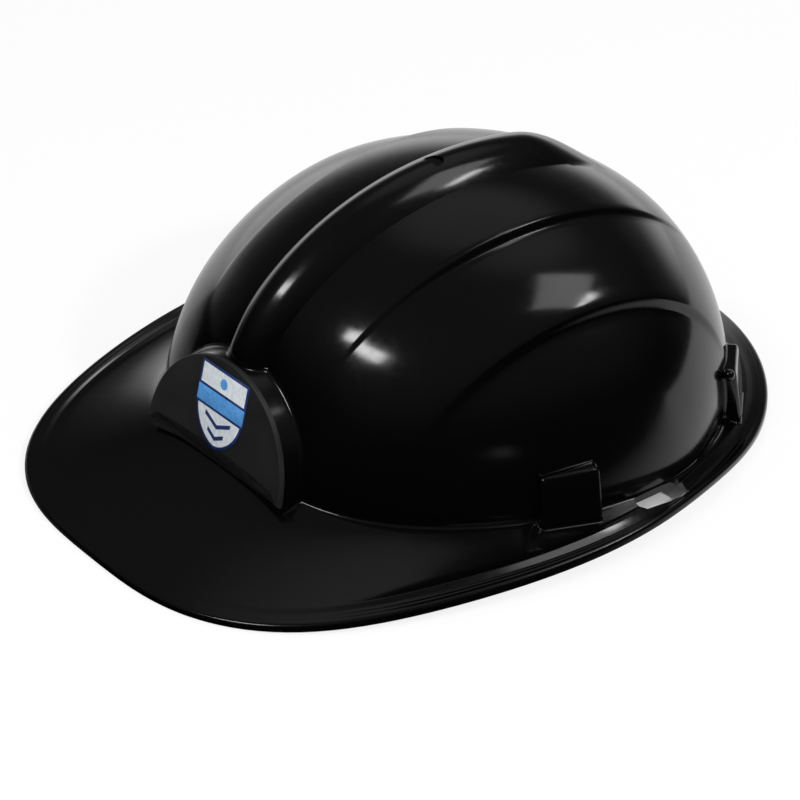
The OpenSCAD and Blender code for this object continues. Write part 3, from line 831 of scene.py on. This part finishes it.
def flat_shape(name, outline, z, thick, mat):
    """A thin raised flat shape on the plate with a softened edge."""
    n = len(outline)
    c = sum(outline, Vector()) / n
    pts = []
    for inset, zz in ((0, z), (0, z + thick * 0.6), (0.08, z + thick)):
        for p in outline:
            q = p + (c - p).normalized() * inset
            pts.append(PLATE @ Vector((q.x, q.y + SHIELD_Y, zz)))
    fs = loop_faces(0, n) + loop_faces(1, n) + [tuple(range(2 * n, 3 * n))]
    return new_object(name, pts, fs, mat)


def print_material(name, base, tint, rough=0.35):
    """Printed label with a fine fleck."""
    m, b = material(name, base, rough)
    v = coords(m)
    fleck = noise(m, v, 700, 3)
    link(m, mix(m, ramp(m, fleck, 0.4, 0.65, 0, 1), base, tint), b.inputs["Base Color"])
    link(m, ramp(m, noise(m, v, 160, 2), 0.3, 0.7, rough - 0.08, rough + 0.1), b.inputs["Roughness"])
    return m


SILVER = print_material("print_silver", (0.72, 0.77, 0.80), (0.60, 0.66, 0.70))
SKY = print_material("print_sky", (0.09, 0.33, 0.72), (0.06, 0.26, 0.62))
NAVY = print_material("print_navy", (0.012, 0.035, 0.16), (0.01, 0.025, 0.12))
label = [flat_shape("badge_label_face", shield_outline(1.0), PLATE_T + 0.01, 0.3, NAVY),
         flat_shape("badge_label_silver", shield_outline(0.93), PLATE_T + 0.28, 0.05, SILVER)]


def band(name, y0, y1, half, mat, z):
    """Straight band across the shield."""
    n = 30
    top = [Vector((-half + 2 * half * i / n, y1, 0)) for i in range(n + 1)]
    low = [Vector((half - 2 * half * i / n, y0, 0)) for i in range(n + 1)]
    return flat_shape(name, top + low, z, 0.04, mat)


label.append(band("badge_band_edge", 11.3 * GROW, 17.9 * GROW, SHIELD_W * 0.985, NAVY, PLATE_T + 0.33))
label.append(band("badge_band_sky", 12.1 * GROW, 17.1 * GROW, SHIELD_W * 0.985, SKY, PLATE_T + 0.37))
stripe = 1.5
for i, sizes in enumerate(((6.4, 6.2, 2.6), (2.6, 3.9, 1.9))):
    y, half, tip = (c * GROW for c in sizes)
    out = [Vector((-half, y + tip, 0)), Vector((0, y, 0)), Vector((half, y + tip, 0)),
           Vector((half, y + tip + stripe, 0)), Vector((0, y + stripe, 0)), Vector((-half, y + tip + stripe, 0))]
    n = len(out)
    pts = [PLATE @ Vector((p.x, p.y + SHIELD_Y, z)) for z in (PLATE_T + 0.3, PLATE_T + 0.38) for p in out]
    fs = [(6, 7, 10, 11), (7, 8, 9, 10)] + loop_faces(0, n)
    label.append(new_object(f"badge_chevron_{i}", pts, fs, NAVY, sharp=30))
dot_r, dot_y = 1.9, 21.0 * GROW
turns = [2 * math.pi * i / 40 for i in range(40)]
dot = [Vector((dot_r * math.cos(a), dot_y + dot_r * math.sin(a), 0)) for a in turns]
label.append(flat_shape("badge_dot", dot, PLATE_T + 0.3, 0.08, SKY))
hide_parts("badge_label")
for p in label:
    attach(p, HELMET)

# ---------------------------------------------------------------- suspension: CAD nodes with softened edges
KEYS = satin_plastic("key_black", (0.010, 0.010, 0.011), 0.36, grain=500, depth=0.05)
WEB = satin_plastic("suspension_black", (0.013, 0.013, 0.014), 0.42, grain=700, depth=0.08)
STUD = satin_plastic("stud_black", (0.02, 0.02, 0.021), 0.3, grain=300, depth=0.04)
LOOKS = {"cradle": WEB, "headband": WEB, "nape_strap": WEB, "hanger_studs": STUD, "adjuster_studs": STUD}
for name, o in frame["nodes"].items():
    for s in o.material_slots:
        s.material = LOOKS.get(name, KEYS)
    if name in ("shell", "badge_plate", "badge_label", "sweatband", "crown_pad"):
        continue
    mod = o.modifiers.new("soft_edges", "BEVEL")
    mod.width = 0.00025
    mod.segments = 2
    mod.limit_method = "ANGLE"
    mod.angle_limit = math.radians(50)
    mod.harden_normals = False

# ---------------------------------------------------------------- padded parts
PAD = fabric("pad_weave", (0.012, 0.012, 0.013), (0.03, 0.03, 0.032))
PIPING = fabric("pad_piping", (0.02, 0.02, 0.022), (0.045, 0.045, 0.048))


def inflate(ob, pinned, pressure, cap):
    """Cloth simulation with inner pressure; pinned vertices hold still, and no point moves further than cap."""
    rest = [v.co.copy() for v in ob.data.vertices]
    g = ob.vertex_groups.new(name="pin")
    g.add(pinned, 1.0, "REPLACE")
    mod = ob.modifiers.new("Cloth", "CLOTH")
    s = mod.settings
    s.quality = 6
    s.mass = 0.05
    s.tension_stiffness = 12
    s.compression_stiffness = 6
    s.bending_stiffness = 0.4
    s.use_pressure = True
    s.uniform_pressure_force = pressure
    s.effector_weights.gravity = 0
    s.vertex_group_mass = "pin"
    mod.collision_settings.use_collision = False
    sc = bpy.context.scene
    for f in range(1, 21):
        sc.frame_set(f)
    dg = bpy.context.evaluated_depsgraph_get()
    ev = ob.evaluated_get(dg)
    new = [v.co.copy() for v in ev.data.vertices]
    ob.modifiers.clear()
    for v, a, b in zip(ob.data.vertices, rest, new):
        d = b - a
        v.co = a + d * min(1.0, cap / d.length) if d.length > 1e-9 else a
    sc.frame_set(1)


def sweat_pad():
    """Quilted brow pad: a front sheet pinned along its hem and channels, over a flat back."""
    half, fields, r0 = 60.0, 10, 72.0 - 0.3     # degrees to each side, and the headband's inner radius
    z0, h, t0 = 13.0, 19.0, 1.5                 # lower edge, height, thickness at the channels
    na, nh = 160, 22                            # mesh divisions along and across
    pts, pinned, fs = [], [], []
    for layer in (0, 1):
        for i in range(na + 1):
            a = -half + 2 * half * i / na
            near_end = smooth((half - abs(a)) / 5)
            for j in range(nh + 1):
                v = j / nh
                edge = math.sin(math.pi * v) ** 0.45 * near_end ** 0.6
                field = abs(math.sin(math.pi * (a + half) * fields / (2 * half)))
                t = 0.35 + (t0 + 0.9 * field ** 0.7) * edge if layer else 0.0
                narrow = 0.5 + (v - 0.5) * (0.72 + 0.28 * near_end)
                b = math.radians(a)
                pts.append(Vector(((r0 - t) * math.sin(b), RING_Y - (r0 - t) * math.cos(b), z0 + h * narrow)))
                if not layer or j in (0, nh) or i in (0, na) or (i % (na // fields) == 0):
                    pinned.append(len(pts) - 1)
    n, off = nh + 1, (na + 1) * (nh + 1)
    for i in range(na):
        for j in range(nh):
            q = (i * n + j, (i + 1) * n + j, (i + 1) * n + j + 1, i * n + j + 1)
            fs.append(q)
            fs.append(tuple(off + c for c in reversed(q)))
    for i in range(na):
        for j in (0, nh):
            q = (i * n + j, off + i * n + j, off + (i + 1) * n + j, (i + 1) * n + j)
            fs.append(q if j == 0 else tuple(reversed(q)))
    for j in range(nh):
        for i in (0, na):
            q = (i * n + j, i * n + j + 1, off + i * n + j + 1, off + i * n + j)
            fs.append(q if i == 0 else tuple(reversed(q)))
    ob = new_object("sweatband_quilted", pts, fs, PAD)
    inflate(ob, pinned, 1.6, 0.0013)
    sub = ob.modifiers.new("sub", "SUBSURF")
    sub.levels = sub.render_levels = 1
    apply_modifiers(ob)
    shade(ob)
    return ob


def stitches(name, path, length, gap, radius, mat):
    """Short raised thread dashes along a path of points, in metres."""
    bm = bmesh.new()
    lens = [(b - a).length for a, b in zip(path, path[1:])]

    def at(s):
        for l, a, b in zip(lens, path, path[1:]):
            if s <= l:
                return a.lerp(b, s / l if l else 0)
            s -= l
        return path[-1]

    s = gap / 2
    while s + length < sum(lens):
        a, b = at(s), at(s + length)
        d = b - a
        mat4 = Matrix.Translation((a + b) / 2) @ d.to_track_quat("Z", "Y").to_matrix().to_4x4()
        bmesh.ops.create_uvsphere(bm, u_segments=8, v_segments=6, radius=1.0,
                                  matrix=mat4 @ Matrix.Diagonal((radius, radius, d.length / 2, 1)))
        s += length + gap
    ob = from_bmesh(bm, name, mat)
    shade(ob)
    return ob


sweat = sweat_pad()
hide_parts("sweatband")
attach(sweat, HELMET)
tree = BVHTree.FromPolygons([v.co.copy() for v in sweat.data.vertices],
                            [tuple(p.vertices) for p in sweat.data.polygons])


def on_pad(a, z):
    """Point on the pad's face at the angle a and height z (mm), for a thread; in metres."""
    b = math.radians(a)
    origin = Vector((0, RING_Y * MM, z * MM))
    d = Vector((math.sin(b), -math.cos(b), 0))
    hit = tree.ray_cast(origin, d)[0]
    return (hit if hit else origin + d * 0.069) - d * 0.00012


rows = []
low_z, high_z = 14.6, 30.4
for z in (low_z, high_z):
    path = [on_pad(-56 + 112 * i / 160, z) for i in range(161)]
    rows.append(stitches(f"sweatband_stitch_{int(z)}", path, 0.0022, 0.0012, 0.00028, PIPING))
for i in range(1, 10):
    path = [on_pad(-60 + 12 * i, low_z + (high_z - low_z) * j / 30) for j in range(31)]
    rows.append(stitches(f"sweatband_channel_{i}", path, 0.0020, 0.0012, 0.00026, PIPING))
for r in rows:
    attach(r, HELMET)


def crown_cushion():
    """Round foam cushion under the hub, seamed round its rim and tufted at the middle."""
    lo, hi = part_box("crown_pad")
    cx, cy = (lo.x + hi.x) / 2, (lo.y + hi.y) / 2
    rad, z1, h = (hi.x - lo.x) / 2, hi.z, hi.z - lo.z
    seg, rings = 96, 16
    pts, fs, pinned = [], [], []
    for layer in (0, 1):
        pts.append(Vector((cx, cy, z1 if not layer else z1 - h * 0.62)))
        pinned.append(len(pts) - 1)
        for k in range(1, rings + 1):
            u = k / rings
            for i in range(seg):
                a = 2 * math.pi * i / seg
                if layer:
                    z = z1 - h * (0.5 + 0.36 * math.sqrt(max(0.0, 1 - u ** 4)) * (0.35 + 0.65 * smooth(u / 0.35)))
                else:
                    z = z1 - h * 0.5 * max(0.0, u - 0.8) / 0.2 * u ** 6
                pts.append(Vector((cx + rad * 0.98 * u * math.cos(a), cy + rad * 0.98 * u * math.sin(a), z)))
                if not layer or k == rings:
                    pinned.append(len(pts) - 1)
    per = 1 + rings * seg
    for layer in (0, 1):
        o = layer * per
        for i in range(seg):
            j = (i + 1) % seg
            f = (o, o + 1 + i, o + 1 + j)
            fs.append(f if not layer else tuple(reversed(f)))
            for k in range(rings - 1):
                q = (o + 1 + k * seg + i, o + 1 + (k + 1) * seg + i, o + 1 + (k + 1) * seg + j, o + 1 + k * seg + j)
                fs.append(q if not layer else tuple(reversed(q)))
    last = 1 + (rings - 1) * seg
    for i in range(seg):
        j = (i + 1) % seg
        fs.append((last + i, per + last + i, per + last + j, last + j))
    ob = new_object("crown_pad_cushion", pts, fs, PAD, scale=1.0)
    inflate(ob, pinned, 2.0, 0.0014)
    shade(ob)
    return ob, (cx, cy, z1 - h * 0.5, rad)


crown, (ccx, ccy, ccz, crad) = crown_cushion()
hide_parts("crown_pad")
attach(crown, HELMET)
ring = bpy.data.curves.new("crown_pad_piping", "CURVE")
ring.dimensions = "3D"
ring.bevel_depth = 0.00055
ring.bevel_resolution = 4
sp = ring.splines.new("POLY")
n = 96
sp.points.add(n - 1)
for i in range(n):
    a = 2 * math.pi * i / n
    sp.points[i].co = (ccx + crad * 0.975 * math.cos(a), ccy + crad * 0.975 * math.sin(a), ccz, 1)
sp.use_cyclic_u = True
piping = bpy.data.objects.new("crown_pad_piping", ring)
bpy.context.scene.collection.objects.link(piping)
ring.materials.append(PIPING)
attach(piping, HELMET)

# ---------------------------------------------------------------- floor, world, lamps and camera
def direction(az, el):
    """Unit vector to azimuth az (0 in front, 90 on the wearer's left) and elevation el."""
    a, e = math.radians(az), math.radians(el)
    return Vector((math.sin(a) * math.cos(e), -math.cos(a) * math.cos(e), math.sin(e)))


# towards the camera, and level away from it
CAMERA_AZ, CAMERA_EL = 50.87, 31.58
BACK = direction(CAMERA_AZ, CAMERA_EL)
FAR = -direction(CAMERA_AZ, 0)


def floor():
    bm = bmesh.new()
    bmesh.ops.create_circle(bm, cap_ends=True, segments=96, radius=6)
    m, b = material("floor_white", (0.9, 0.9, 0.9), 0.9, spec=0.1)
    ob = from_bmesh(bm, "floor", m)
    v = coords(m)
    sep = node(m, "ShaderNodeSeparateXYZ")
    link(m, v, sep.inputs[0])

    def smooth_range(value, lo, hi):
        n = node(m, "ShaderNodeMapRange", interpolation_type="SMOOTHSTEP")
        n.inputs["From Min"].default_value = lo
        n.inputs["From Max"].default_value = hi
        link(m, value, n.inputs["Value"])
        return n.outputs["Result"]

    def product(a, c):
        n = node(m, "ShaderNodeMath", operation="MULTIPLY")
        for s, x in ((n.inputs[0], a), (n.inputs[1], c)):
            if isinstance(x, float):
                s.default_value = x
            else:
                link(m, x, s)
        return n.outputs[0]

    # pale to the camera, except inside the helmet's own outline, an ellipse of these half axes
    across, endways = 0.102, 0.128
    light = node(m, "ShaderNodeLightPath")
    squeeze = node(m, "ShaderNodeVectorMath", operation="MULTIPLY")
    squeeze.inputs[1].default_value = (1 / across, 1 / endways, 0)
    link(m, v, squeeze.inputs[0])
    size = node(m, "ShaderNodeVectorMath", operation="LENGTH")
    link(m, squeeze.outputs[0], size.inputs[0])
    open_floor = smooth_range(size.outputs["Value"], 0.98, 1.02)
    seen = product(product(light.outputs["Is Camera Ray"], open_floor), 0.82)
    emit = node(m, "ShaderNodeEmission", Color=(1, 1, 1, 1), Strength=1.0)
    pale = node(m, "ShaderNodeMixShader")
    link(m, seen, pale.inputs[0])
    link(m, b.outputs[0], pale.inputs[1])
    link(m, emit.outputs[0], pale.inputs[2])
    # painted reflection: in the gloss the floor glows by emission, bright behind the helmet and dark in front of it
    along = node(m, "ShaderNodeVectorMath", operation="DOT_PRODUCT")
    along.inputs[1].default_value = FAR
    link(m, v, along.inputs[0])
    reflection_glow_mask = product(smooth_range(along.outputs["Value"], -0.11, -0.03),
                   smooth_range(sep.outputs["Y"], -0.19, 0.05))
    painted_reflection_glow = node(m, "ShaderNodeEmission", Color=(1, 1, 1, 1))
    link(m, product(reflection_glow_mask, 0.85), painted_reflection_glow.inputs["Strength"])
    both = node(m, "ShaderNodeMixShader")
    link(m, light.outputs["Is Glossy Ray"], both.inputs[0])
    link(m, pale.outputs[0], both.inputs[1])
    link(m, painted_reflection_glow.outputs[0], both.inputs[2])
    link(m, both.outputs[0], m.node_tree.nodes["Material Output"].inputs["Surface"])
    ob.location.z = -0.0001


floor()


def world():
    """Even light on the matt, brightness by direction in the gloss, and white to the camera."""
    w = bpy.data.worlds.new("studio")
    bpy.context.scene.world = w
    w.use_nodes = True
    t = w.node_tree
    t.nodes.clear()
    out = t.nodes.new("ShaderNodeOutputWorld")
    bg = t.nodes.new("ShaderNodeBackground")
    path = t.nodes.new("ShaderNodeLightPath")
    way = t.nodes.new("ShaderNodeTexCoord").outputs["Generated"]
    sep = t.nodes.new("ShaderNodeSeparateXYZ")
    t.links.new(way, sep.inputs[0])
    height = sep.outputs["Z"]

    def towards(vector):
        n = t.nodes.new("ShaderNodeVectorMath")
        n.operation = "DOT_PRODUCT"
        n.inputs[1].default_value = vector
        t.links.new(way, n.inputs[0])
        return n.outputs["Value"]

    def scaled(value, lo, hi, a, b):
        n = t.nodes.new("ShaderNodeMapRange")
        n.interpolation_type = "SMOOTHSTEP"
        for key, x in (("From Min", lo), ("From Max", hi), ("To Min", a), ("To Max", b)):
            n.inputs[key].default_value = x
        t.links.new(value, n.inputs["Value"])
        return n.outputs["Result"]

    def combine(kind, a, b):
        n = t.nodes.new("ShaderNodeMath")
        n.operation = kind
        t.links.new(a, n.inputs[0])
        t.links.new(b, n.inputs[1])
        return n.outputs[0]

    # the gloss sees a low wall behind the helmet, its bright foot, a patch high behind and a dim ceiling
    behind = towards(FAR)
    wall = combine("MULTIPLY", scaled(behind, 0.2, 0.8, 0, 0.14), scaled(height, 0.5, 0.2, 0, 1))
    wall_foot = combine("MULTIPLY", scaled(behind, 0.55, 0.95, 0, 1.2), scaled(height, 0.3, 0.05, 0, 1))
    patch = scaled(towards(direction(-140, 55)), 0.92, 0.99, 0, 0.2)
    ceiling = scaled(height, 0.15, 0.85, 0, 0.09)
    sheen = combine("ADD", combine("ADD", wall, wall_foot), combine("ADD", patch, ceiling))
    a = t.nodes.new("ShaderNodeMix")
    a.inputs["A"].default_value = 0.55
    t.links.new(path.outputs["Is Glossy Ray"], a.inputs["Factor"])
    t.links.new(sheen, a.inputs["B"])
    b = t.nodes.new("ShaderNodeMix")
    t.links.new(path.outputs["Is Camera Ray"], b.inputs["Factor"])
    t.links.new(a.outputs["Result"], b.inputs["A"])
    b.inputs["B"].default_value = 1.0
    bg.inputs["Color"].default_value = (1, 1, 1, 1)
    t.links.new(b.outputs["Result"], bg.inputs["Strength"])
    t.links.new(bg.outputs[0], out.inputs["Surface"])


world()


LAMP_TARGET = Vector((0, 0, 0.05))


def softbox(name, az, el, dist, width, height, radiance, in_gloss=True):
    """Rectangular lamp towards azimuth az and elevation el; sizes in metres."""
    d = direction(az, el)
    lamp = bpy.data.lights.new(name, "AREA")
    lamp.shape = "RECTANGLE"
    lamp.size = width
    lamp.size_y = height
    lamp.energy = radiance * math.pi * width * height
    ob = bpy.data.objects.new(name, lamp)
    ob.location = LAMP_TARGET + d * dist
    ob.rotation_euler = d.to_track_quat("Z", "Y").to_euler()
    ob.visible_glossy = in_gloss
    bpy.context.scene.collection.objects.link(ob)


softbox("key_box", 4, 55.5, 1.7, 0.62, 0.2, 17)
softbox("window_box", 152, 58, 2.0, 0.85, 0.62, 2.1)
softbox("high_strip", 142, 47.5, 2.0, 0.42, 0.14, 14)
softbox("low_strip", 79, 2, 0.8, 0.012, 0.03, 4)
softbox("left_fill", -60, 35, 2.2, 0.9, 0.9, 0.8, in_gloss=False)
# lights the patch of floor that shows through the left slot
softbox("slot_lamp", 95, 38, 1.5, 0.12, 0.12, 230, in_gloss=False)

# the camera looks from 1 m away, shifted by the photo's framing in pixels
FRAME_PX, SHIFT_PX = 800, (-14.64, -5.29)
cam = bpy.data.cameras.new("camera")
cam.lens = 127.3
cam.sensor_width = 36
cam.shift_x, cam.shift_y = (px / FRAME_PX for px in SHIFT_PX)
cam_ob = bpy.data.objects.new("camera", cam)
cam_ob.location = BACK + Vector((0, 0, 0.010))
cam_ob.rotation_euler = BACK.to_track_quat("Z", "Y").to_euler()
bpy.context.scene.collection.objects.link(cam_ob)
bpy.context.scene.camera = cam_ob
bpy.context.scene.view_settings.view_transform = "Standard"
